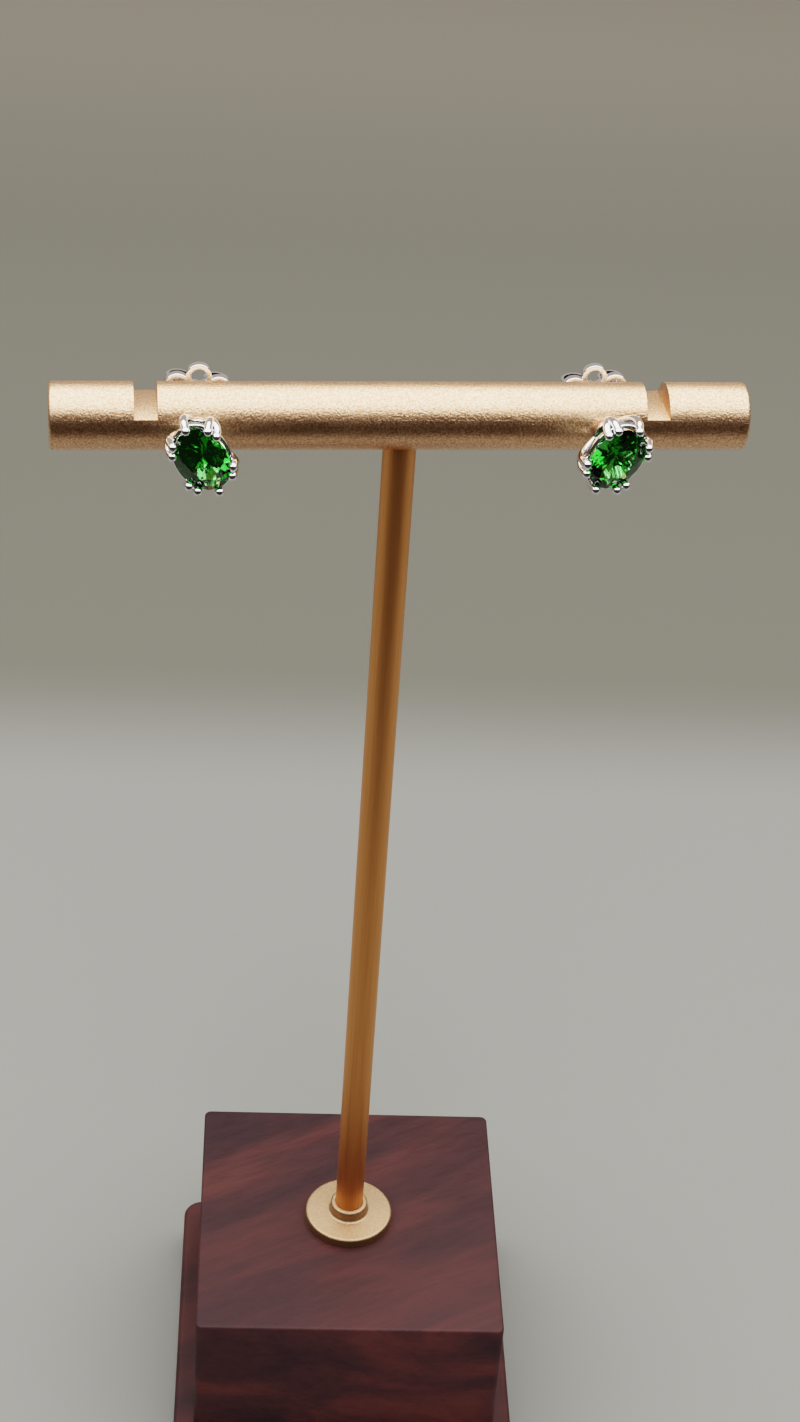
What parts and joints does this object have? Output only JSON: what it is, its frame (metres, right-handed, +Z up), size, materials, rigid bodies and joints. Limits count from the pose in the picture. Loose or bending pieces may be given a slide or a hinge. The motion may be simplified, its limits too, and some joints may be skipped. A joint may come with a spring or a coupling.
{
  "type": "pair of oval stud earrings on a t-bar display stand",
  "caption": "Pair of oval green-stone claw-set stud earrings with flower ear nuts, pushed through a slotted gold crossbar on a slim rod and a stepped wooden base.",
  "frame": {"origin": "centre of the base's underside", "axes": "+Z up along the rod, -Y the front that the stones face, +X to the right seen from the front"},
  "size_m": [0.0702, 0.042, 0.142],
  "materials": {
    "dark_wood": "satin oiled dark red-brown hardwood",
    "frosted_gold": "sandblasted champagne gold plating",
    "satin_gold": "satin rose gold plating",
    "silver": "polished rhodium-plated silver",
    "green_stone": "polished facets, vivid green"
  },
  "bodies": {
    "stand_with_studs": {"base_plinth": "dark_wood", "base_block": "dark_wood", "rod_flange": "frosted_gold", "stand_rod": "satin_gold", "crossbar": "frosted_gold", "left_setting": "silver", "left_stone": "green_stone", "right_setting": "silver", "right_stone": "green_stone"},
    "left_nut": {"left_ear_nut": "silver"},
    "right_nut": {"right_ear_nut": "silver"}
  },
  "joints": [
    {"name": "left_nut_slide", "type": "slide", "parent": "stand_with_studs", "child": "left_nut", "axis": [-0.0785, 0.9969, 0], "range_m": [0, 0.0038]},
    {"name": "right_nut_slide", "type": "slide", "parent": "stand_with_studs", "child": "right_nut", "axis": [-0.0785, 0.9969, 0], "range_m": [0, 0.0038]}
  ]
}
